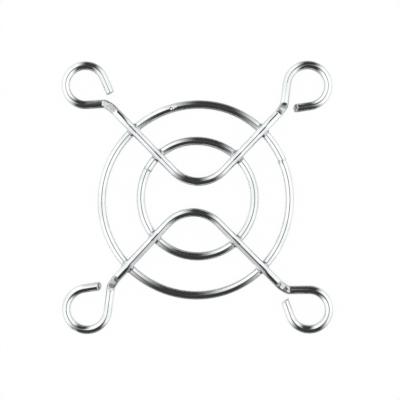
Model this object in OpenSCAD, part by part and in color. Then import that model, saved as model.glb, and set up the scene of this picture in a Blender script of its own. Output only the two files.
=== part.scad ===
// Wire guard for a 40 mm fan.
// Two rings of plated steel wire are welded under two bent arms. Each arm is one
// wire: a V whose legs step down at their outer ends and curl into screw eyes.
// The guard lies on its rings and eyes at Z = 0, centred on its hole pattern.

/* [Wire] */
// Diameter of the wire
wire_d = 1.2; // [0.9:0.05:1.4]
// Diameter that the wire gains where it is bent
bend_swell = 0.01; // [0.006:0.002:0.03]
// Depth that a weld sinks an arm and a ring into each other
weld_set = 0.15; // [0.05:0.01:0.3]
// Diameter of the thin flash squeezed out round a weld
flash_d = 2; // [1.6:0.1:2.4]
// Thickness of the flash at its middle
flash_t = 0.5; // [0.3:0.05:0.8]

/* [Rings] */
// Outer diameter of the outer ring
outer_ring_d = 28.4; // [26:0.1:30]
// Outer diameter of the inner ring
inner_ring_d = 17.6; // [15:0.1:20]
// Place of the outer ring's centre along X, as welded
outer_ring_x = -0.15; // [-0.4:0.05:0.4]
// Place of the outer ring's centre along Y, as welded
outer_ring_y = -0.35; // [-0.4:0.05:0.4]
// Place of the inner ring's centre along X, as welded
inner_ring_x = 0; // [-0.4:0.05:0.4]
// Place of the inner ring's centre along Y, as welded
inner_ring_y = -0.15; // [-0.4:0.05:0.4]
// Direction of the outer ring's butt joint
outer_joint_angle = 24; // [-30:1:30]
// Direction of the inner ring's butt joint
inner_joint_angle = 150; // [150:1:210]
// Radial step between a ring's two ends at its butt joint
joint_step = 0.1; // [0.02:0.01:0.3]

/* [Screw eyes] */
// Distance between neighbouring screw holes
hole_pitch = 32; // [31:0.5:34]
// Inner diameter of the left eye
left_eye_d = 4.4; // [4:0.1:5]
// Inner diameter of the right eye
right_eye_d = 4.7; // [4.2:0.1:5.2]
// Angle that the wire turns round the left eye
left_eye_turn = 250; // [220:1:255]
// Angle that the wire turns round the right eye
right_eye_turn = 254; // [220:1:260]
// Straight tail after the left eye
left_tail = 2.5; // [1:0.1:2.8]
// Straight tail after the right eye
right_tail = 2.2; // [1:0.1:2.5]
// Chamfer round a cut end of the wire
end_chamfer = 0.1; // [0.02:0.01:0.3]

/* [Arms] */
// Inside radius of the bend in the middle of an arm
apex_inner_r = 4.4; // [3.5:0.1:5]
// Sideways place of the point where the two legs of the upper arm would meet
apex_x = 0.4; // [-0.5:0.1:0.5]
// Length of the left strut, from its eye to its corner with the leg
left_strut_len = 3.2; // [2.6:0.1:3.6]
// Length of the right strut, from its eye to its corner with the leg
right_strut_len = 3.8; // [3:0.1:4.2]
// Angle between the left strut and the X axis
left_strut_tilt = 2; // [-2:1:6]
// Angle between the right strut and the Y axis
right_strut_tilt = 7; // [2:1:10]

/* [Step at the corners] */
// Distance of each end of the step from its corner
step_reach = 0.7; // [0.6:0.05:1]
// Inside radius of the two bends of the step
step_inner_r = 0.9; // [0.5:0.05:1]
// Depth of the flats that the press leaves on the step
press_flat = 0.12; // [0.05:0.01:0.2]

/* [Hidden] */
$fn = 72;
// How far a straight runs into a bend
bite = 0.05;

// Diameter of the wire in a bend, a ring or an eye
bent_d = wire_d + bend_swell;

// Heights of the wire's centre line: rings, struts and eyes lie low, legs high
low_z = bent_d / 2;
high_z = bent_d - weld_set + wire_d / 2;

// Radii of the wire's centre line
left_eye_r = (left_eye_d + bent_d) / 2;
right_eye_r = (right_eye_d + bent_d) / 2;
apex_r = apex_inner_r + wire_d / 2;
step_r = step_inner_r + wire_d / 2;

// The upper arm's route in plan, on centre lines. A strut's angle is its heading
// towards its eye, round which the wire then turns clockwise.
left_eye = [-hole_pitch / 2, hole_pitch / 2];
right_eye = [hole_pitch / 2, hole_pitch / 2];
left_strut_angle = 180 + left_strut_tilt;
right_strut_angle = 90 - right_strut_tilt;
left_strut_way = [cos(left_strut_angle), sin(left_strut_angle)];
right_strut_way = [cos(right_strut_angle), sin(right_strut_angle)];
left_touch = left_eye + left_eye_r * [-left_strut_way.y, left_strut_way.x];
right_touch = right_eye + right_eye_r * [-right_strut_way.y, right_strut_way.x];
left_corner = left_touch - left_strut_len * left_strut_way;
right_corner = right_touch - right_strut_len * right_strut_way;
apex = [apex_x, 0];
left_leg_way = unit(left_corner - apex);
right_leg_way = unit(right_corner - apex);

// The same route in space, from the left eye to the right eye, and the radius of
// the bend at each of its corners
route = [
    at_height(left_touch, low_z),
    at_height(left_corner + step_reach * left_strut_way, low_z),
    at_height(left_corner - step_reach * left_leg_way, high_z),
    at_height(apex, high_z),
    at_height(right_corner - step_reach * right_leg_way, high_z),
    at_height(right_corner + step_reach * right_strut_way, low_z),
    at_height(right_touch, low_z)
];
route_bends = [step_r, step_r, apex_r, step_r, step_r];

function unit(v) = v / norm(v);

function at_height(p, z) = [p.x, p.y, z];

// Where a leg, going from start along way, crosses a ring in plan
function crossing(start, way, centre, ring_r) =
    let (offset = start - centre, along = offset * way)
    start + (sqrt(along * along - offset * offset + ring_r * ring_r) - along) * way;

// Places children in the frame with these axes and origin
module in_frame(x, y, z, origin) {
    multmatrix([for (i = [0 : 2]) [x[i], y[i], z[i], origin[i]]]) children();
}

// Straight wire between two bends, with a bite into each
module straight_wire(start, end) {
    way = unit(end - start);
    side = unit(cross([0, 0, 1], way));
    in_frame(side, cross(way, side), way, start - bite * way)
        cylinder(d = wire_d, h = norm(end - start) + 2 * bite);
}

// Arc of bent wire round the Z axis, from the +X axis on
module wire_arc(bend_r, turn) {
    rotate_extrude(angle = turn) translate([bend_r, 0]) circle(d = bent_d);
}

// Bend that starts at a point and turns the wire from one way to another
module wire_bend(start, way_in, way_out, bend_r) {
    axis = unit(cross(way_in, way_out));
    outward = cross(way_in, axis);
    in_frame(outward, way_in, axis, start - bend_r * outward)
        wire_arc(bend_r, acos(way_in * way_out));
}

// Straight wire along the Z axis that ends in a chamfered cut
module wire_tail(length) {
    rotate_extrude() polygon([
        [0, -bite],
        [wire_d / 2, -bite],
        [wire_d / 2, length - end_chamfer],
        [wire_d / 2 - end_chamfer, length],
        [0, length]
    ]);
}

// Wire along a route of points, bent to a radius at each corner
module bent_wire(points, bends) {
    last = len(points) - 1;
    ways = [for (i = [0 : last - 1]) unit(points[i + 1] - points[i])];
    trims = [
        0,
        for (i = [1 : last - 1]) bends[i - 1] * tan(acos(ways[i - 1] * ways[i]) / 2),
        0
    ];
    for (i = [0 : last - 1])
        straight_wire(points[i] + trims[i] * ways[i], points[i + 1] - trims[i + 1] * ways[i]);
    for (i = [1 : last - 1])
        wire_bend(points[i] - trims[i] * ways[i - 1], ways[i - 1], ways[i], bends[i - 1]);
}

// Open eye that a strut runs into, with its straight tail and cut end
module screw_eye(centre, eye_r, strut_angle, turn, tail) {
    translate(at_height(centre, low_z)) rotate([0, 0, strut_angle + 90 - turn]) {
        wire_arc(eye_r, turn);
        translate([eye_r, 0, 0]) rotate([90, 0, 0]) wire_tail(tail);
    }
}

// Cuts for the flats that the press leaves above and below a step
module press_cuts(low_end, high_end) {
    way = unit(high_end - low_end);
    side = unit(cross([0, 0, 1], way));
    in_frame(way, side, cross(way, side), (low_end + high_end) / 2)
        for (face = [1, -1])
            translate([0, 0, face * (wire_d - press_flat)])
                cube([norm(high_end - low_end), 2 * wire_d, wire_d], center = true);
}

// One arm, in the upper arm's place
module arm() {
    difference() {
        union() {
            bent_wire(route, route_bends);
            screw_eye(left_eye, left_eye_r, left_strut_angle, left_eye_turn, left_tail);
            screw_eye(right_eye, right_eye_r, right_strut_angle, right_eye_turn, right_tail);
        }
        press_cuts(route[1], route[2]);
        press_cuts(route[5], route[4]);
    }
}

// Ring of wire with a small step at its butt joint, on the +X side. The second
// half is larger by half the step, and the halves run on smoothly opposite it.
module wire_ring(ring_r) {
    wire_arc(ring_r, 180);
    translate([joint_step / 2, 0, 0]) rotate([0, 0, 180])
        wire_arc(ring_r + joint_step / 2, 180);
}

// Thin lens of flash, squeezed out between the two wires at a weld
module weld_flash() {
    half_t = flash_t / 2;
    ball_r = (flash_d * flash_d / 4 + half_t * half_t) / flash_t;
    intersection_for(side = [1, -1])
        translate([0, 0, side * (ball_r - half_t)]) sphere(r = ball_r);
}

// Ring with the flash of its four welds, seated on the arms
module welded_ring(centre, ring_d, joint_angle) {
    ring_r = (ring_d - bent_d) / 2;
    difference() {
        union() {
            translate(at_height(centre, low_z)) rotate([0, 0, joint_angle])
                wire_ring(ring_r);
            for (arm_side = [1, -1], way = [left_leg_way, right_leg_way])
                translate(at_height(
                    crossing(arm_side * apex, arm_side * way, centre, ring_r),
                    bent_d - weld_set / 2
                ))
                    weld_flash();
        }
        arm();
        rotate([0, 0, 180]) arm();
    }
}

module outer_ring() {
    color("silver")
        welded_ring([outer_ring_x, outer_ring_y], outer_ring_d, outer_joint_angle);
}

module inner_ring() {
    color("silver")
        welded_ring([inner_ring_x, inner_ring_y], inner_ring_d, inner_joint_angle);
}

module upper_arm() {
    color("gainsboro") arm();
}

module lower_arm() {
    color("gainsboro") rotate([0, 0, 180]) arm();
}

outer_ring();
inner_ring();
upper_arm();
lower_arm();
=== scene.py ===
"""Wire finger guard for a 40 mm fan.

Two rings of plated wire are welded under two bent arms, whose ends step down and
curl into open screw eyes. Sizes are in millimetres until a mesh is written.
"""

import logging
import math
from dataclasses import dataclass, field
from enum import Enum

import bpy
import numpy as np
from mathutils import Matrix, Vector


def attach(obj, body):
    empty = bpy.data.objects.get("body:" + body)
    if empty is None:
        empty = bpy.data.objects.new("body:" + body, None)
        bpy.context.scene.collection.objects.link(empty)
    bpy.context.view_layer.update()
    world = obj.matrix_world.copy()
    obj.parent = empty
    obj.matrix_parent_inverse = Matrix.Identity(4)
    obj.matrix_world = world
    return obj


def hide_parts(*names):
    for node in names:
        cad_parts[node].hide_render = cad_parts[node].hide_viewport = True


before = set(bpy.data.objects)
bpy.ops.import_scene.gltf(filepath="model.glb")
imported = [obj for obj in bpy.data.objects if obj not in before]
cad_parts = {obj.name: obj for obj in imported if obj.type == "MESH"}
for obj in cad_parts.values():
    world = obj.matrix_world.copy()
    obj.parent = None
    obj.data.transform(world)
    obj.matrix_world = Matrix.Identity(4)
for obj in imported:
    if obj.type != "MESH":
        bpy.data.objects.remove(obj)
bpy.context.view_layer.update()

log = logging.getLogger("wire_guard")

MM = 0.001
BODY = "root"

# Thickness of the wire, straight and bent, and how deep a weld sets it
WIRE_D = 1.2
BENT_D = 1.21
WELD_SET = 0.15
# Heights of the centre line: rings, struts and eyes lie low, legs high
LOW_Z = BENT_D / 2
HIGH_Z = BENT_D - WELD_SET + WIRE_D / 2


class Side(Enum):
    """The two ends of an arm, seen in the upper arm's place."""

    LEFT = -1
    RIGHT = 1


class Bench:
    """Lays out the nodes of one tree and joins their sockets."""

    def __init__(self, tree: bpy.types.NodeTree) -> None:
        """Take up a tree.

        Args:
            tree: The geometry or shader tree to fill.
        """
        self.tree = tree

    def node(
        self, kind: str, inputs: dict | None = None, **settings: object
    ) -> bpy.types.Node:
        """Add one node.

        Args:
            kind: Type name of the node.
            inputs: Values or sockets for its inputs, by name or number.
            settings: Properties of the node itself.

        Returns:
            The new node.
        """
        made = self.tree.nodes.new(kind)
        for key, value in settings.items():
            setattr(made, key, value)
        for key, value in (inputs or {}).items():
            if isinstance(value, bpy.types.NodeSocket):
                self.tree.links.new(value, made.inputs[key])
            else:
                made.inputs[key].default_value = value
        return made

    def math(self, operation: str, *terms: object) -> bpy.types.NodeSocket:
        """Add a Math node over numbers or sockets and return its result."""
        made = self.node("ShaderNodeMath", dict(enumerate(terms)), operation=operation)
        return made.outputs[0]

    def ramp(
        self, value: bpy.types.NodeSocket, low: float, high: float, to: tuple[float, float]
    ) -> bpy.types.NodeSocket:
        """Map a value smoothly from one span to another.

        Args:
            value: Socket to map.
            low: Where the rise starts.
            high: Where the rise ends.
            to: Results below the start and above the end.

        Returns:
            The mapped value.
        """
        made = self.node(
            "ShaderNodeMapRange",
            {0: value, 1: low, 2: high, 3: to[0], 4: to[1]},
            interpolation_type="SMOOTHSTEP",
        )
        return made.outputs[0]


# ---------------------------------------------------------------- finishes


@dataclass(frozen=True)
class PlatedWire:
    """Bright plated steel with fine lines drawn along the wire.

    Where a press has worked the wire, the plating is greyer and scuffed.
    """

    name: str = "plated_wire"
    bright: tuple[float, float, float] = (0.925, 0.945, 0.953)
    dull: tuple[float, float, float] = (0.82, 0.845, 0.855)
    scuffed: tuple[float, float, float] = (0.60, 0.625, 0.63)
    roughness: tuple[float, float] = (0.03, 0.10)
    worked_roughness: float = 0.28

    def make(self) -> bpy.types.Material:
        """Build the material and return it."""
        material = bpy.data.materials.new(self.name)
        material.use_nodes = True
        material.diffuse_color = (*self.dull, 1.0)
        material.node_tree.nodes.clear()
        bench = Bench(material.node_tree)
        drawn = bench.node("ShaderNodeAttribute", attribute_name="drawn_way")
        worked = bench.node("ShaderNodeAttribute", attribute_name="worked")
        place = bench.node("ShaderNodeTexCoord")

        lines = bench.node(
            "ShaderNodeMapping",
            {"Vector": drawn.outputs["Vector"], "Scale": (260, 9000, 9000)},
        )
        streaks = bench.node(
            "ShaderNodeTexNoise",
            {"Vector": lines.outputs[0], "Scale": 1.0, "Detail": 3.0, "Roughness": 0.6},
        )
        patches = bench.node(
            "ShaderNodeTexNoise",
            {"Vector": place.outputs["Object"], "Scale": 420.0, "Detail": 2.0},
        )
        scuffs = bench.node(
            "ShaderNodeTexNoise",
            {
                "Vector": place.outputs["Object"],
                "Scale": 2600.0,
                "Detail": 3.0,
                "Distortion": 0.6,
            },
        )
        scuff = bench.math(
            "MULTIPLY",
            worked.outputs["Fac"],
            bench.ramp(scuffs.outputs["Fac"], 0.36, 0.62, (0.6, 1.0)),
        )

        tone = bench.node(
            "ShaderNodeMix",
            {
                0: bench.ramp(patches.outputs["Fac"], 0.38, 0.66, (0.0, 1.0)),
                6: (*self.bright, 1),
                7: (*self.dull, 1),
            },
            data_type="RGBA",
        )
        streaked = bench.node(
            "ShaderNodeMix",
            {
                0: bench.ramp(streaks.outputs["Fac"], 0.5, 0.75, (0.0, 0.7)),
                6: tone.outputs[2],
                7: (*self.dull, 1),
            },
            data_type="RGBA",
        )
        colour = bench.node(
            "ShaderNodeMix",
            {0: scuff, 6: streaked.outputs[2], 7: (*self.scuffed, 1)},
            data_type="RGBA",
        )
        smooth = bench.ramp(streaks.outputs["Fac"], 0.3, 0.7, self.roughness)
        rough = bench.math(
            "MAXIMUM", smooth, bench.math("MULTIPLY", scuff, self.worked_roughness)
        )

        fine = bench.node(
            "ShaderNodeBump",
            {"Height": streaks.outputs["Fac"], "Strength": 0.12, "Distance": 0.00001},
        )
        dents = bench.math("MULTIPLY", scuffs.outputs["Fac"], worked.outputs["Fac"])
        bump = bench.node(
            "ShaderNodeBump",
            {
                "Height": dents,
                "Strength": 0.35,
                "Distance": 0.00005,
                "Normal": fine.outputs[0],
            },
        )
        shader = bench.node(
            "ShaderNodeBsdfPrincipled",
            {
                "Base Color": colour.outputs[2],
                "Metallic": 1.0,
                "Roughness": rough,
                "Normal": bump.outputs[0],
            },
        )
        bench.node("ShaderNodeOutputMaterial", {"Surface": shader.outputs[0]})
        return material


@dataclass(frozen=True)
class WeldMetal:
    """Squeezed-out weld metal: grey, matt and a little lumpy under the plating."""

    name: str = "weld_metal"
    light: tuple[float, float, float] = (0.72, 0.735, 0.74)
    dark: tuple[float, float, float] = (0.34, 0.355, 0.36)

    def make(self) -> bpy.types.Material:
        """Build the material and return it."""
        material = bpy.data.materials.new(self.name)
        material.use_nodes = True
        material.diffuse_color = (*self.light, 1.0)
        material.node_tree.nodes.clear()
        bench = Bench(material.node_tree)
        place = bench.node("ShaderNodeTexCoord")
        lumps = bench.node(
            "ShaderNodeTexNoise",
            {"Vector": place.outputs["Object"], "Scale": 3200.0, "Detail": 3.0},
        )
        colour = bench.node(
            "ShaderNodeMix",
            {
                0: bench.ramp(lumps.outputs["Fac"], 0.35, 0.65, (0.0, 1.0)),
                6: (*self.light, 1),
                7: (*self.dark, 1),
            },
            data_type="RGBA",
        )
        bump = bench.node(
            "ShaderNodeBump",
            {"Height": lumps.outputs["Fac"], "Strength": 0.5, "Distance": 0.00005},
        )
        shader = bench.node(
            "ShaderNodeBsdfPrincipled",
            {
                "Base Color": colour.outputs[2],
                "Metallic": 1.0,
                "Roughness": bench.ramp(lumps.outputs["Fac"], 0.3, 0.7, (0.25, 0.45)),
                "Normal": bump.outputs[0],
            },
        )
        bench.node("ShaderNodeOutputMaterial", {"Surface": shader.outputs[0]})
        return material


# ---------------------------------------------------------------- wire


def unit(vector: np.ndarray) -> np.ndarray:
    """Return the vector at length one."""
    return vector / np.linalg.norm(vector)


def heading(degrees: float) -> np.ndarray:
    """Return the unit vector in plan with this heading."""
    angle = math.radians(degrees)
    return np.array([math.cos(angle), math.sin(angle)])


def bend_corners(corners: list[np.ndarray], radii: list[float]) -> np.ndarray:
    """Run a line through corners, each bent to a radius.

    Args:
        corners: Points of the route, the first and last being its ends.
        radii: Radius of the bend at each corner between them.

    Returns:
        Points close together along the bent line.
    """
    line = [corners[0]]
    for i, radius in enumerate(radii, start=1):
        way_in = unit(corners[i] - corners[i - 1])
        way_out = unit(corners[i + 1] - corners[i])
        turn = math.acos(float(np.clip(way_in @ way_out, -1, 1)))
        inward = unit(way_out - way_in * (way_in @ way_out))
        start = corners[i] - radius * math.tan(turn / 2) * way_in
        for angle in np.linspace(0, turn, 48):
            line.append(
                start
                + radius * math.sin(angle) * way_in
                + radius * (1 - math.cos(angle)) * inward
            )
    line.append(corners[-1])
    return np.array(line)


@dataclass
class WireLine:
    """Centre line of one wire.

    thickness is the wire's thickness there as a share of its diameter, and worked
    says how far a press or a weld has scuffed it, from 0 to 1.
    """

    points: np.ndarray
    closed: bool = False
    thickness: np.ndarray = field(default_factory=lambda: np.ones(0))
    worked: np.ndarray = field(default_factory=lambda: np.zeros(0))

    def __post_init__(self) -> None:
        """Start with an even, unworked wire."""
        if len(self.thickness) != len(self.points):
            self.thickness = np.ones(len(self.points))
        if len(self.worked) != len(self.points):
            self.worked = np.zeros(len(self.points))

    def lengths(self) -> np.ndarray:
        """Return the length of wire up to each point."""
        steps = np.linalg.norm(np.diff(self.points, axis=0), axis=1)
        return np.concatenate([[0.0], np.cumsum(steps)])

    def at(self, length: float) -> tuple[np.ndarray, np.ndarray]:
        """Return the place and the heading of the wire at a length along it."""
        lengths = self.lengths()
        here, there = (
            np.array([np.interp(x, lengths, self.points[:, i]) for i in range(3)])
            for x in (length - 0.02, length + 0.02)
        )
        return (here + there) / 2, unit(there - here)

    def nearest(self, place: np.ndarray) -> float:
        """Return the length along the wire that lies nearest to a place in plan."""
        gaps = np.linalg.norm(self.points[:, :2] - place[:2], axis=1)
        return float(self.lengths()[int(np.argmin(gaps))])

    def respaced(self, coarse: float, fine: float, near: list[tuple[float, float]]) -> "WireLine":
        """Space the points anew, closer together where detail is needed.

        Args:
            coarse: Spacing of the plain wire.
            fine: Spacing where detail is needed.
            near: Places that need it, each a length and a reach on both sides.

        Returns:
            The same line with new points.
        """
        lengths = self.lengths()
        dense = np.linspace(0, lengths[-1], int(lengths[-1] / 0.01) + 1)
        spacing = np.full(len(dense), coarse)
        for middle, reach in near:
            away = np.clip((np.abs(dense - middle) - reach) / (0.8 * reach), 0, 1)
            spacing = np.minimum(spacing, fine + (coarse - fine) * away)
        steps = np.concatenate([[0.0], np.cumsum(np.diff(dense) / spacing[1:])])
        count = math.ceil(steps[-1])
        stops = np.interp(np.linspace(0, steps[-1], count + 1), steps, dense)
        points = np.stack([np.interp(stops, lengths, self.points[:, i]) for i in range(3)], 1)
        return WireLine(points[:-1] if self.closed else points, self.closed)

    def crossings(self, other: "WireLine") -> list[np.ndarray]:
        """Return the places in plan where this wire crosses another."""
        found = []
        ends = np.vstack([other.points, other.points[:1]]) if other.closed else other.points
        start, step = ends[:-1, :2], np.diff(ends[:, :2], axis=0)
        for a, b in zip(self.points[:-1], self.points[1:]):
            way = (b - a)[:2]
            offset = start - a[:2]
            area = way[0] * step[:, 1] - way[1] * step[:, 0]
            area[np.abs(area) < 1e-12] = 1e-12
            along = (offset[:, 0] * step[:, 1] - offset[:, 1] * step[:, 0]) / area
            across = (offset[:, 0] * way[1] - offset[:, 1] * way[0]) / area
            for i in np.nonzero((0 <= along) & (along < 1) & (0 <= across) & (across < 1))[0]:
                found.append(a[:2] + along[i] * way)
        return found


@dataclass(frozen=True)
class PressedFlat:
    """Flat that a tool leaves on a wire.

    at is measured along the wire from the tool's place, towards the eye. pitch tips
    the flat along the wire and roll turns it round the wire, in degrees.
    """

    at: float
    reach: float
    pitch: float
    roll: float
    depth: float

    def press(
        self, vertices: np.ndarray, along: np.ndarray, line: WireLine, place: float, way: int
    ) -> None:
        """Push the wire's surface down to the flat.

        Args:
            vertices: Surface points, changed in place.
            along: Length along the wire of each surface point.
            line: Centre line of the wire.
            place: Length along the wire where the tool stands.
            way: 1 if the eye lies further along the wire, -1 if it lies before.
        """
        middle, forward = line.at(place + way * self.at)
        forward = forward * way
        up = unit(np.array([0.0, 0.0, 1.0]) - forward * forward[2])
        aside = np.cross(up, forward)
        roll, pitch = math.radians(self.roll), math.radians(self.pitch)
        facing = math.cos(roll) * up + math.sin(roll) * aside
        facing = math.cos(pitch) * facing + math.sin(pitch) * forward
        spread = np.abs(along - place - way * self.at)
        hold = np.clip((self.reach - spread) / (0.25 * self.reach), 0, 1)
        proud = (vertices - middle) @ facing - (WIRE_D / 2 - self.depth)
        proud = np.clip(proud, 0, None) * hold * (spread < self.reach)
        vertices -= proud[:, None] * facing


class WireDrawer:
    """Draws a wire of any thickness along a centre line, with Geometry Nodes."""

    def __init__(self, sides: int) -> None:
        """Build the tree.

        Args:
            sides: Number of faces round the wire.
        """
        self.sides = sides
        self.tree = bpy.data.node_groups.new("drawn wire", "GeometryNodeTree")
        face = self.tree.interface
        face.new_socket("Geometry", in_out="OUTPUT", socket_type="NodeSocketGeometry")
        face.new_socket("Geometry", in_out="INPUT", socket_type="NodeSocketGeometry")
        self.inputs = {
            name: face.new_socket(name, in_out="INPUT", socket_type=kind).identifier
            for name, kind in (
                ("Diameter", "NodeSocketFloat"),
                ("Sides", "NodeSocketInt"),
                ("Finish", "NodeSocketMaterial"),
            )
        }
        bench = Bench(self.tree)
        given = bench.node("NodeGroupInput")
        line = bench.node("GeometryNodeMeshToCurve", {"Mesh": given.outputs["Geometry"]})
        level = bench.node(
            "GeometryNodeSetCurveNormal", {"Curve": line.outputs[0]}, mode="Z_UP"
        )
        length = bench.node("GeometryNodeCaptureAttribute")
        length.capture_items.new("FLOAT", "Length")
        self.tree.links.new(level.outputs[0], length.inputs["Geometry"])
        self.tree.links.new(
            bench.node("GeometryNodeSplineParameter").outputs["Length"],
            length.inputs["Length"],
        )
        rim = bench.node(
            "GeometryNodeCurvePrimitiveCircle",
            {
                "Resolution": given.outputs["Sides"],
                "Radius": bench.math("MULTIPLY", given.outputs["Diameter"], 0.5),
            },
        )
        cut = bench.node("GeometryNodeCaptureAttribute")
        cut.capture_items.new("VECTOR", "Place")
        self.tree.links.new(rim.outputs["Curve"], cut.inputs["Geometry"])
        self.tree.links.new(
            bench.node("GeometryNodeInputPosition").outputs[0], cut.inputs["Place"]
        )
        thickness = bench.node(
            "GeometryNodeInputNamedAttribute", {"Name": "thickness"}, data_type="FLOAT"
        )
        wire = bench.node(
            "GeometryNodeCurveToMesh",
            {
                "Curve": length.outputs["Geometry"],
                "Profile Curve": cut.outputs["Geometry"],
                "Scale": thickness.outputs["Attribute"],
                "Fill Caps": True,
            },
        )
        parts = bench.node("ShaderNodeSeparateXYZ", {0: cut.outputs["Place"]})
        drawn = bench.node(
            "ShaderNodeCombineXYZ",
            {0: length.outputs["Length"], 1: parts.outputs[0], 2: parts.outputs[1]},
        )
        named = bench.node(
            "GeometryNodeStoreNamedAttribute",
            {"Geometry": wire.outputs[0], "Name": "drawn_way", "Value": drawn.outputs[0]},
            data_type="FLOAT_VECTOR",
            domain="POINT",
        )
        real = bench.node("GeometryNodeRealizeInstances", {0: named.outputs[0]})
        dressed = bench.node(
            "GeometryNodeSetMaterial",
            {"Geometry": real.outputs[0], "Material": given.outputs["Finish"]},
        )
        bench.node("NodeGroupOutput", {0: dressed.outputs[0]})

    def draw(self, name: str, line: WireLine, finish: bpy.types.Material) -> bpy.types.Object:
        """Draw one wire.

        Args:
            name: Name of the piece.
            line: Its centre line.
            finish: Its material.

        Returns:
            The wire as a plain mesh object at the origin.
        """
        count = len(line.points)
        edges = [(i, i + 1) for i in range(count - 1)]
        if line.closed:
            edges.append((count - 1, 0))
        mesh = bpy.data.meshes.new(name + "_line")
        mesh.from_pydata([tuple(p) for p in line.points * MM], edges, [])
        for label, values in (("thickness", line.thickness), ("worked", line.worked)):
            mesh.attributes.new(label, "FLOAT", "POINT").data.foreach_set(
                "value", values.astype(np.float32)
            )
        return grown(
            name,
            mesh,
            self.tree,
            {
                self.inputs["Diameter"]: WIRE_D * MM,
                self.inputs["Sides"]: self.sides,
                self.inputs["Finish"]: finish,
            },
        )


def grown(
    name: str, mesh: bpy.types.Mesh, tree: bpy.types.NodeTree, inputs: dict[str, object]
) -> bpy.types.Object:
    """Run a Geometry Nodes tree on a mesh and keep the result as a plain mesh.

    Args:
        name: Name of the finished piece.
        mesh: What the tree starts from.
        tree: The tree.
        inputs: Values for its inputs, by identifier.

    Returns:
        The finished piece, at the origin and without modifiers.
    """
    source = bpy.data.objects.new(name + "_source", mesh)
    bpy.context.scene.collection.objects.link(source)
    modifier = source.modifiers.new("grow", "NODES")
    modifier.node_group = tree
    for identifier, value in inputs.items():
        modifier[identifier] = value
    graph = bpy.context.evaluated_depsgraph_get()
    made = bpy.data.meshes.new_from_object(
        source.evaluated_get(graph), preserve_all_data_layers=True, depsgraph=graph
    )
    source.modifiers.remove(modifier)
    bpy.data.objects.remove(source)
    made.name = name
    piece = bpy.data.objects.new(name, made)
    bpy.context.scene.collection.objects.link(piece)
    return piece


def read_points(mesh: bpy.types.Mesh) -> np.ndarray:
    """Return a mesh's points in millimetres."""
    flat = np.empty(len(mesh.vertices) * 3)
    mesh.vertices.foreach_get("co", flat)
    return flat.reshape(-1, 3) / MM


def write_points(mesh: bpy.types.Mesh, points: np.ndarray) -> None:
    """Give a mesh new points, in millimetres, none of them under the table."""
    points[:, 2] = np.maximum(points[:, 2], 0.0)
    mesh.vertices.foreach_set("co", (points * MM).ravel())
    mesh.update()
    mesh.shade_smooth()
    mesh.set_sharp_from_angle(angle=math.radians(40))


def read_drawn(mesh: bpy.types.Mesh) -> np.ndarray:
    """Return each point's length along its wire, in millimetres."""
    flat = np.empty(len(mesh.vertices) * 3, np.float32)
    mesh.attributes["drawn_way"].data.foreach_get("vector", flat)
    return flat.reshape(-1, 3)[:, 0].astype(float) / MM


def fit(piece: bpy.types.Object, *nodes: str) -> None:
    """Mount a finished piece on the guard's body, in place of CAD nodes."""
    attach(piece, BODY)
    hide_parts(*nodes)
    log.info("%s: %d faces", piece.name, len(piece.data.polygons))


# ---------------------------------------------------------------- rings


@dataclass
class Ring:
    """One ring: a closed wire, a little out of round, butt-welded at its joint.

    out_of_round pairs a direction in degrees with the ring's error there, and marks
    pairs one with a dent that handling has left.
    """

    name: str
    node: str
    centre: tuple[float, float]
    radius: float
    out_of_round: tuple[tuple[float, float], ...]
    joint_angle: float
    joint_step: float = 0.10
    upset: float = 0.05
    groove: float = 0.04
    marks: tuple[tuple[float, PressedFlat], ...] = ()

    def reach(self, angles: np.ndarray) -> np.ndarray:
        """Return the ring's radius in each direction, in degrees."""
        known = np.radians([a for a, _ in self.out_of_round])
        errors = np.array([e for _, e in self.out_of_round])

        def waves(t: np.ndarray) -> np.ndarray:
            """Return the first few waves round the ring at each angle."""
            rows = [np.ones_like(t)]
            for n in range(1, 5):
                rows += [np.cos(n * t), np.sin(n * t)]
            return np.stack(rows, 1)

        shape = waves(known)
        weights = np.linalg.solve(
            shape.T @ shape + 0.02 * np.eye(shape.shape[1]), shape.T @ errors
        )
        return self.radius + waves(np.radians(angles)) @ weights

    def line(self) -> WireLine:
        """Return the ring's centre line, starting at its joint."""
        turn = np.linspace(0, 360, 2881)
        away = np.radians(np.minimum(turn, 360 - turn)) * self.radius
        side = np.where(turn < 180, 1.0, -1.0)
        angles = np.radians(self.joint_angle + turn)
        radius = self.reach(self.joint_angle + turn)
        radius = radius + side * self.joint_step / 2 * np.exp(-away / 1.2)
        points = np.stack(
            [
                self.centre[0] + radius * np.cos(angles),
                self.centre[1] + radius * np.sin(angles),
                np.full(len(turn), LOW_Z),
            ],
            1,
        )
        full = WireLine(points, closed=True)
        length = full.lengths()[-1]
        line = full.respaced(0.16, 0.02, [(0.0, 0.4), (length, 0.4)])
        along = line.lengths()
        away = np.minimum(along, length - along)
        swell = self.upset * np.exp(-((away / 0.35) ** 2)) * (along > length / 2)
        nick = self.groove * np.exp(-((away / 0.045) ** 2))
        line.thickness = np.minimum(1 + swell - nick, 1.0 + self.upset)
        line.worked = 0.6 * np.exp(-((away / 0.3) ** 2))
        return line

    def build(self, drawer: WireDrawer, finish: bpy.types.Material) -> WireLine:
        """Draw the ring and mount it.

        Args:
            drawer: Draws the wire.
            finish: The ring's material.

        Returns:
            The ring's centre line, for its welds.
        """
        line = self.line()
        piece = drawer.draw(self.name, line, finish)
        points = read_points(piece.data)
        for angle, mark in self.marks:
            place = line.nearest(np.array(self.centre) + self.radius * heading(angle))
            mark.press(points, read_drawn(piece.data), line, place, 1)
        write_points(piece.data, points)
        fit(piece, self.node)
        return line


# ---------------------------------------------------------------- arms


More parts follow.
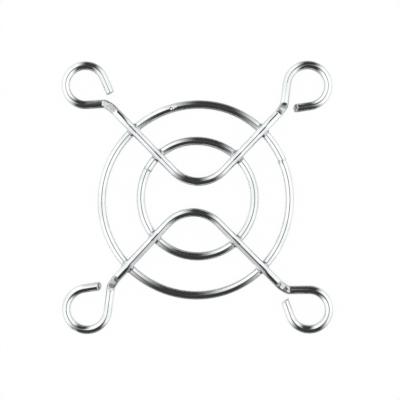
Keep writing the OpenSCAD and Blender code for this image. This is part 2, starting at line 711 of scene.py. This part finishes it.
@dataclass(frozen=True)
class ScrewEye:
    """Open eye at the end of an arm, seen in the upper arm's place.

    lean is how far the eye's plane rises per millimetre along X and Y. shear is how
    far the cut face of the tail is turned in plan and tipped up, in degrees. crimp
    is the stretch that the press has scuffed, measured from the strut's corner, and
    flats are what its jaws have pressed there.
    """

    centre: tuple[float, float]
    radius: float
    strut_angle: float
    strut_len: float
    turn: float
    tail: float
    lean: tuple[float, float] = (0.0, 0.0)
    shear: tuple[float, float] = (0.0, 0.0)
    crimp: tuple[float, float] = (-1.45, 0.95)
    flats: tuple[PressedFlat, ...] = ()

    def way(self) -> np.ndarray:
        """Return the strut's heading towards the eye."""
        return heading(self.strut_angle)

    def corner(self) -> np.ndarray:
        """Return the corner between the strut and the leg, in plan."""
        return self.touch() - self.strut_len * self.way()

    def touch(self) -> np.ndarray:
        """Return the point where the strut runs into the eye, in plan."""
        way = self.way()
        return np.array(self.centre) + self.radius * np.array([-way[1], way[0]])

    def curl(self) -> np.ndarray:
        """Return the eye in plan, from the strut to the end of the tail."""
        start = self.strut_angle + 90
        angles = np.linspace(start, start - self.turn, 240)
        curl = [np.array(self.centre) + self.radius * heading(a) for a in angles]
        end = heading(self.strut_angle - self.turn)
        curl.append(curl[-1] + self.tail * end)
        return np.array(curl)

    def height(self, plan: np.ndarray) -> np.ndarray:
        """Return the height of the centre line over points in plan."""
        lean = np.array(self.lean)
        lowest = ((self.curl() - self.centre) @ lean).min()
        return LOW_Z + (plan - self.centre) @ lean - lowest


@dataclass
class Arm:
    """One arm: a V of wire over the rings whose legs step down to screw eyes.

    Past the rings each leg slopes down by dip. Its step then runs from step_in before
    the corner with its strut to step_out behind it.
    """

    name: str
    node: str
    left: ScrewEye
    right: ScrewEye
    apex: tuple[float, float]
    apex_r: float
    step_in: float = 1.0
    step_out: float = 0.35
    step_r: float = 0.9
    slope_len: float = 2.5
    dip: float = 0.5
    brow_r: float = 6.0
    half_turned: bool = False

    def line(self) -> WireLine:
        """Return the centre line, from the left tail to the right tail."""
        apex = np.array(self.apex)
        ends = {}
        for side, eye in ((Side.LEFT, self.left), (Side.RIGHT, self.right)):
            leg = unit(eye.corner() - apex)
            low = eye.corner() + self.step_out * eye.way()
            high = eye.corner() - self.step_in * leg
            brow = high - self.slope_len * leg
            curl = eye.curl()
            ends[side] = (
                np.append(brow, HIGH_Z),
                np.append(high, HIGH_Z - self.dip),
                np.append(low, eye.height(low[None])[0]),
                np.column_stack([curl, eye.height(curl)]),
            )
        left_brow, left_high, left_low, left_curl = ends[Side.LEFT]
        right_brow, right_high, right_low, right_curl = ends[Side.RIGHT]
        middle = bend_corners(
            [
                left_curl[0],
                left_low,
                left_high,
                left_brow,
                np.append(apex, HIGH_Z),
                right_brow,
                right_high,
                right_low,
                right_curl[0],
            ],
            [
                self.step_r, self.step_r, self.brow_r, self.apex_r,
                self.brow_r, self.step_r, self.step_r,
            ],
        )
        points = np.vstack([left_curl[:0:-1], middle, right_curl[1:]])
        if self.half_turned:
            points = points * [-1, -1, 1]
        return WireLine(points).respaced(0.02, 0.02, [])

    def corner_place(self, line: WireLine, eye: ScrewEye) -> float:
        """Return the length along the wire at an eye's corner."""
        corner = eye.corner() * (-1 if self.half_turned else 1)
        return line.nearest(corner)

    def build(
        self, drawer: WireDrawer, finish: bpy.types.Material, rings: list[WireLine]
    ) -> list[tuple[np.ndarray, int]]:
        """Draw the arm, press its steps and cuts, and mount it.

        Args:
            drawer: Draws the wire.
            finish: The arm's material.
            rings: Centre lines of the rings that it is welded to.

        Returns:
            The place in plan of each weld and the number of its ring.
        """
        rough = self.line()
        total = float(rough.lengths()[-1])
        welds = [
            (place, number)
            for number, ring in enumerate(rings)
            for place in rough.crossings(ring)
        ]
        weld_places = [rough.nearest(place) for place, _ in welds]
        corners = {
            -1: self.corner_place(rough, self.left),
            1: self.corner_place(rough, self.right),
        }
        near = [(s, 1.5) for s in corners.values()] + [(0.0, 0.25), (total, 0.25)]
        near += [(s, 0.9) for s in weld_places]
        line = rough.respaced(0.16, 0.04, near)
        along = line.lengths()
        to_end = np.minimum(along, total - along)
        line.thickness = 1 - 0.16 * np.clip(1 - to_end / 0.1, 0, 1) ** 1.5
        for way, eye in ((-1, self.left), (1, self.right)):
            out = way * (along - corners[way])
            span = np.minimum(out - eye.crimp[0], eye.crimp[1] - out) / 0.2
            line.worked = np.maximum(line.worked, np.clip(span, 0, 1))
        for place in weld_places:
            line.worked = np.maximum(
                line.worked, 0.35 * np.exp(-(((along - place) / 0.55) ** 2))
            )
        line.worked = np.maximum(line.worked, 0.6 * np.clip(1 - to_end / 0.25, 0, 1))

        piece = drawer.draw(self.name, line, finish)
        points = read_points(piece.data)
        drawn = read_drawn(piece.data)
        for way, eye in ((-1, self.left), (1, self.right)):
            for flat in eye.flats:
                flat.press(points, drawn, line, corners[way], way)
            self.cut_tail(points, drawn, line, total if way > 0 else 0.0, way, eye)
        for place in weld_places:
            PressedFlat(0, 0.8, 0, 0, 0.008).press(points, drawn, line, place, 1)
        write_points(piece.data, points)
        fit(piece, self.node)
        return welds

    @staticmethod
    def cut_tail(
        points: np.ndarray,
        drawn: np.ndarray,
        line: WireLine,
        end: float,
        way: int,
        eye: ScrewEye,
    ) -> None:
        """Slant the cut face at the end of a tail.

        Args:
            points: Surface points, changed in place.
            drawn: Length along the wire of each surface point.
            line: Centre line of the wire.
            end: Length along the wire at the cut.
            way: 1 if the wire ends there, -1 if it starts there.
            eye: The eye whose tail is cut.
        """
        middle, forward = line.at(end - way * 0.03)
        forward = forward * way
        up = unit(np.array([0.0, 0.0, 1.0]) - forward * forward[2])
        aside = np.cross(up, forward)
        yaw, pitch = (math.tan(math.radians(a)) for a in eye.shear)
        share = np.clip(1 - np.abs(end - drawn) / 1.0, 0, 1)
        offset = points - middle
        slant = offset @ aside * yaw + offset @ up * pitch
        slant -= WIRE_D / 2 * (abs(yaw) + abs(pitch))
        points += (share * slant)[:, None] * forward


# ---------------------------------------------------------------- welds


@dataclass(frozen=True)
class WeldBeads:
    """Thin beads squeezed out between an arm and a ring at their crossings."""

    width: float = 2.0
    thickness: float = 0.5
    height: float = BENT_D - WELD_SET / 2

    def tree(self) -> tuple[bpy.types.NodeTree, dict[str, str]]:
        """Build the tree that sets a bead on each point.

        Returns:
            The tree, and the identifiers of its inputs by name.
        """
        tree = bpy.data.node_groups.new("weld beads", "GeometryNodeTree")
        face = tree.interface
        face.new_socket("Geometry", in_out="OUTPUT", socket_type="NodeSocketGeometry")
        face.new_socket("Geometry", in_out="INPUT", socket_type="NodeSocketGeometry")
        names = {
            name: face.new_socket(name, in_out="INPUT", socket_type=kind).identifier
            for name, kind in (
                ("Width", "NodeSocketFloat"),
                ("Thickness", "NodeSocketFloat"),
                ("Seed", "NodeSocketInt"),
                ("Finish", "NodeSocketMaterial"),
            )
        }
        bench = Bench(tree)
        given = bench.node("NodeGroupInput")
        ball = bench.node(
            "GeometryNodeMeshIcoSphere", {"Radius": 0.5, "Subdivisions": 5}
        )
        size = bench.node(
            "ShaderNodeCombineXYZ",
            {
                0: given.outputs["Width"],
                1: given.outputs["Width"],
                2: given.outputs["Thickness"],
            },
        )
        share = bench.node(
            "FunctionNodeRandomValue",
            {2: 0.86, 3: 1.0, "Seed": given.outputs["Seed"]},
            data_type="FLOAT",
        )
        sized = bench.node(
            "ShaderNodeVectorMath",
            {0: size.outputs[0], "Scale": share.outputs[1]},
            operation="SCALE",
        )
        beads = bench.node(
            "GeometryNodeInstanceOnPoints",
            {
                "Points": given.outputs["Geometry"],
                "Instance": ball.outputs["Mesh"],
                "Scale": sized.outputs[0],
            },
        )
        real = bench.node("GeometryNodeRealizeInstances", {0: beads.outputs[0]})
        lumps = bench.node(
            "ShaderNodeTexNoise", {"Scale": 1500.0, "Detail": 1.0}
        )
        pull = bench.node(
            "ShaderNodeVectorMath",
            {
                0: bench.node("GeometryNodeInputNormal").outputs[0],
                "Scale": bench.math(
                    "MULTIPLY",
                    bench.math("SUBTRACT", lumps.outputs["Fac"], 0.75),
                    bench.math("MULTIPLY", given.outputs["Thickness"], 0.35),
                ),
            },
            operation="SCALE",
        )
        lumpy = bench.node(
            "GeometryNodeSetPosition",
            {"Geometry": real.outputs[0], "Offset": pull.outputs[0]},
        )
        dressed = bench.node(
            "GeometryNodeSetMaterial",
            {"Geometry": lumpy.outputs[0], "Material": given.outputs["Finish"]},
        )
        bench.node("NodeGroupOutput", {0: dressed.outputs[0]})
        return tree, names

    def build(
        self, finish: bpy.types.Material, welds: dict[str, list[np.ndarray]]
    ) -> None:
        """Set the beads on the crossings and mount them.

        Args:
            finish: Their material.
            welds: The places of the beads in plan, for each ring's node.
        """
        tree, names = self.tree()
        for node, places in welds.items():
            name = node + "_welds"
            mesh = bpy.data.meshes.new(name + "_points")
            mesh.from_pydata(
                [(x * MM, y * MM, self.height * MM) for x, y in places], [], []
            )
            piece = grown(
                name,
                mesh,
                tree,
                {
                    names["Width"]: self.width * MM,
                    names["Thickness"]: self.thickness * MM,
                    names["Seed"]: 5,
                    names["Finish"]: finish,
                },
            )
            piece.data.shade_smooth()
            fit(piece, node)


# ---------------------------------------------------------------- studio


@dataclass(frozen=True)
class Opening:
    """Dark opening in the tent's wall, with its heading and widths in degrees."""

    towards: float
    half_width: float
    soft_edge: float
    darkness: float = 0.04

    def shade(self, bench: Bench, share: bpy.types.NodeSocket) -> bpy.types.NodeSocket:
        """Darken the wall inside the opening.

        Args:
            bench: Bench of the world's tree.
            share: The heading as a share of a full turn.

        Returns:
            1 on the wall, and the opening's darkness inside it.
        """
        turned = bench.math("FRACT", bench.math("ADD", share, 1.5 - self.towards / 360))
        away = bench.math("ABSOLUTE", bench.math("SUBTRACT", turned, 0.5))
        return bench.ramp(
            away,
            (self.half_width - self.soft_edge) / 360,
            (self.half_width + self.soft_edge) / 360,
            (self.darkness, 1.0),
        )


@dataclass
class Studio:
    """Pale table in a soft white tent, a lamp over it, and the camera.

    The lamp and the table have their sizes in metres, and the camera in millimetres.
    The tent's walls to the left and right are bright. Its front opening and the gap
    at its back are dark, and so is the hole that the camera looks through.
    """

    middle: tuple[float, float] = (0.385, -0.37)
    view_width: float = 57.1
    camera_height: float = 170.0
    brightness: float = 1.1
    lamp_power: float = 0.8
    lamp_width: float = 0.5
    lamp_height: float = 0.45
    table_half: float = 1.5
    hole: float = 0.05
    hole_shift: tuple[float, float] = (0.045, -0.02)
    front: Opening = Opening(towards=270, half_width=40, soft_edge=15)
    back: Opening = Opening(towards=80, half_width=22, soft_edge=12)

    def build(self) -> None:
        """Set up the world, the table, the lamp and the camera."""
        self.make_world()
        self.make_table()
        self.make_lamp()
        self.make_camera()

    def make_world(self) -> None:
        """Light the guard from the tent, and show white paper behind it."""
        world = bpy.data.worlds.new("tent")
        bpy.context.scene.world = world
        world.use_nodes = True
        world.node_tree.nodes.clear()
        bench = Bench(world.node_tree)
        way = bench.node("ShaderNodeTexCoord").outputs["Generated"]
        x, y = bench.node("ShaderNodeSeparateXYZ", {0: way}).outputs[:2]
        turn = bench.math("DIVIDE", bench.math("ARCTAN2", y, x), math.tau)
        share = bench.math("FRACT", bench.math("ADD", turn, 1.0))
        wall = bench.math(
            "MULTIPLY", self.front.shade(bench, share), self.back.shade(bench, share)
        )
        aside = bench.node(
            "ShaderNodeVectorMath", {0: way, 1: (*self.hole_shift, 1.0)}, operation="DISTANCE"
        )
        tent = bench.node(
            "ShaderNodeMix",
            {
                0: bench.ramp(aside.outputs["Value"], 0.09, 0.25, (1.0, 0.0)),
                6: wall,
                7: (self.hole, self.hole, self.hole, 1),
            },
            data_type="RGBA",
        )
        lit = bench.node(
            "ShaderNodeBackground", {"Color": tent.outputs[2], "Strength": self.brightness}
        )
        paper = bench.node("ShaderNodeBackground", {"Color": (1, 1, 1, 1)})
        seen = bench.node("ShaderNodeLightPath").outputs["Is Camera Ray"]
        mixed = bench.node(
            "ShaderNodeMixShader", {0: seen, 1: lit.outputs[0], 2: paper.outputs[0]}
        )
        bench.node("ShaderNodeOutputWorld", {"Surface": mixed.outputs[0]})

    def make_lamp(self) -> None:
        """Hang a wide soft lamp over the table, out of the guard's reflections."""
        data = bpy.data.lights.new("lamp", "AREA")
        data.shape = "DISK"
        data.size = self.lamp_width
        data.energy = self.lamp_power
        lamp = bpy.data.objects.new("lamp", data)
        lamp.location = (0.0, 0.0, self.lamp_height)
        lamp.visible_glossy = False
        bpy.context.scene.collection.objects.link(lamp)

    def make_table(self) -> None:
        """Lay the guard on a pale table that keeps a trace of its shadow."""
        material = bpy.data.materials.new("table")
        material.use_nodes = True
        material.node_tree.nodes.clear()
        bench = Bench(material.node_tree)
        grain = bench.node(
            "ShaderNodeTexNoise",
            {
                "Vector": bench.node("ShaderNodeTexCoord").outputs["Object"],
                "Scale": 900.0,
            },
        )
        tone = bench.node(
            "ShaderNodeMix",
            {
                0: bench.ramp(grain.outputs["Fac"], 0.3, 0.7, (0.0, 1.0)),
                6: (0.93, 0.93, 0.93, 1),
                7: (0.95, 0.95, 0.95, 1),
            },
            data_type="RGBA",
        )
        matt = bench.node("ShaderNodeBsdfDiffuse", {"Color": tone.outputs[2]})
        polish = bench.node(
            "ShaderNodeBsdfGlossy", {"Color": (0.84, 0.84, 0.84, 1), "Roughness": 0.4}
        )
        white = bench.node("ShaderNodeEmission", {"Color": (1, 1, 1, 1)})
        path = bench.node("ShaderNodeLightPath")
        mirrored = bench.math(
            "MAXIMUM", path.outputs["Is Glossy Ray"], path.outputs["Is Transmission Ray"]
        )
        glossy = bench.node(
            "ShaderNodeMixShader",
            {
                0: bench.math("MULTIPLY", mirrored, 0.91),
                1: matt.outputs[0],
                2: polish.outputs[0],
            },
        )
        paper = bench.math(
            "MAXIMUM",
            bench.math("MULTIPLY", path.outputs["Is Camera Ray"], 0.95),
            bench.math("MULTIPLY", mirrored, 0.04),
        )
        mixed = bench.node(
            "ShaderNodeMixShader", {0: paper, 1: glossy.outputs[0], 2: white.outputs[0]}
        )
        bench.node("ShaderNodeOutputMaterial", {"Surface": mixed.outputs[0]})
        mesh = bpy.data.meshes.new("table")
        half = self.table_half
        mesh.from_pydata(
            [(-half, -half, 0), (half, -half, 0), (half, half, 0), (-half, half, 0)],
            [],
            [(0, 1, 2, 3)],
        )
        mesh.materials.append(material)
        table = bpy.data.objects.new("table", mesh)
        bpy.context.scene.collection.objects.link(table)

    def make_camera(self) -> None:
        """Look straight down on the guard through a long lens."""
        data = bpy.data.cameras.new("camera")
        data.sensor_width = 36.0
        data.lens = 36.0 * self.camera_height / self.view_width
        data.clip_start = 0.01
        camera = bpy.data.objects.new("camera", data)
        camera.location = Vector((*self.middle, self.camera_height + 1.1)) * MM
        bpy.context.scene.collection.objects.link(camera)
        bpy.context.scene.camera = camera


# ---------------------------------------------------------------- the guard


@dataclass
class FanGuard:
    """The whole guard: two rings, two arms and eight welds."""

    rings: tuple[Ring, ...]
    arms: tuple[Arm, ...]

    def build(self) -> None:
        """Make every piece of the guard."""
        wire = PlatedWire().make()
        weld = WeldMetal().make()
        drawer = WireDrawer(sides=96)
        lines = [ring.build(drawer, wire) for ring in self.rings]
        welds: dict[str, list[np.ndarray]] = {ring.node: [] for ring in self.rings}
        for arm in self.arms:
            for place, number in arm.build(drawer, wire, lines):
                welds[self.rings[number].node].append(place)
        WeldBeads().build(weld, welds)


def step_flats(*flats: tuple[float, float, float, float, float]) -> tuple[PressedFlat, ...]:
    """Return pressed flats from rows of at, reach, pitch, roll and depth."""
    return tuple(PressedFlat(*row) for row in flats)


def make_guard() -> FanGuard:
    """Return the guard with all its sizes."""
    outer = Ring(
        "outer_ring_wire",
        "outer_ring",
        centre=(-0.16, -0.36),
        radius=13.58,
        out_of_round=(
            (0, -0.15), (24, -0.10), (28, -0.01), (56, 0.15), (72, 0.18), (88, 0.10),
            (100, 0.0), (112, -0.10), (144, -0.15), (180, -0.09), (216, 0.03), (240, 0.0),
            (260, 0.06), (280, 0.09), (300, 0.04), (324, -0.10), (344, -0.20),
        ),
        joint_angle=24.5,
        marks=(
            (103.9, PressedFlat(0, 0.32, 8, 3, 0.05)),
            (102.8, PressedFlat(0, 0.12, 22, 0, 0.07)),
        ),
    )
    inner = Ring(
        "inner_ring_wire",
        "inner_ring",
        centre=(0.02, -0.15),
        radius=8.20,
        out_of_round=(
            (0, 0.0), (30, 0.0), (60, 0.0), (92, 0.05), (120, 0.11), (144, 0.08),
            (188, -0.10), (220, 0.0), (268, 0.07), (304, 0.09), (330, 0.0),
        ),
        joint_angle=150.0,
        joint_step=0.04,
    )
    upper = Arm(
        "upper_arm_wire",
        "upper_arm",
        left=ScrewEye(
            centre=(-15.99, 16.04), radius=2.81, strut_angle=184.1, strut_len=2.94,
            turn=250.8, tail=2.5, lean=(-0.045, 0.0), shear=(-5, 0),
            crimp=(-1.9, 0.6),
            flats=step_flats(
                (-1.45, 0.6, 0, -6, 0.11), (-0.6, 0.4, -9, -12, 0.13), (-0.1, 0.35, -10, 9, 0.13),
                (0.4, 0.3, 0, -4, 0.12),
            ),
        ),
        right=ScrewEye(
            centre=(15.78, 16.0), radius=2.95, strut_angle=82.5, strut_len=3.62,
            turn=254.1, tail=2.57, lean=(0.0, 0.0), shear=(6, -28),
            crimp=(-1.3, 0.7),
            flats=step_flats(
                (-1.1, 0.35, -16, 0, 0.13), (-0.55, 0.3, -8, -6, 0.13), (-0.1, 0.35, 4, 2, 0.13),
                (0.35, 0.35, 4, 3, 0.14), (2.2, 1.6, 0, -9, 0.02),
            ),
        ),
        apex=(0.20, 0.09),
        apex_r=4.94,
    )
    lower = Arm(
        "lower_arm_wire",
        "lower_arm",
        left=ScrewEye(
            centre=(-15.99, 16.04), radius=2.83, strut_angle=181.0, strut_len=3.35,
            turn=251.3, tail=2.5, lean=(-0.05, 0.0), shear=(-16, 0),
            crimp=(-1.7, 0.7),
            flats=step_flats(
                (-1.4, 0.4, -15, -3, 0.12), (-0.85, 0.35, -5, 6, 0.12), (-0.3, 0.4, -10, -7, 0.14),
                (0.35, 0.25, 10, 4, 0.13),
            ),
        ),
        right=ScrewEye(
            centre=(15.78, 15.98), radius=2.97, strut_angle=82.65, strut_len=4.04,
            turn=253.9, tail=2.6, lean=(0.0, 0.0), shear=(6, -26),
            crimp=(-1.45, 0.95),
            flats=step_flats(
                (-1.25, 0.35, -15, 3, 0.13), (-0.6, 0.45, -8, -3, 0.14), (0.05, 0.4, -6, 1, 0.14),
                (0.7, 0.35, -4, -6, 0.12), (9.98, 0.35, 0, 62, 0.09),
            ),
        ),
        apex=(0.69, -0.09),
        apex_r=5.04,
        half_turned=True,
    )
    return FanGuard(rings=(outer, inner), arms=(upper, lower))


def main() -> None:
    """Build the guard and its studio."""
    logging.basicConfig(level=logging.INFO, format="%(message)s")
    make_guard().build()
    Studio().build()
    bpy.context.scene.view_settings.view_transform = "Standard"


if __name__ == "__main__":
    main()
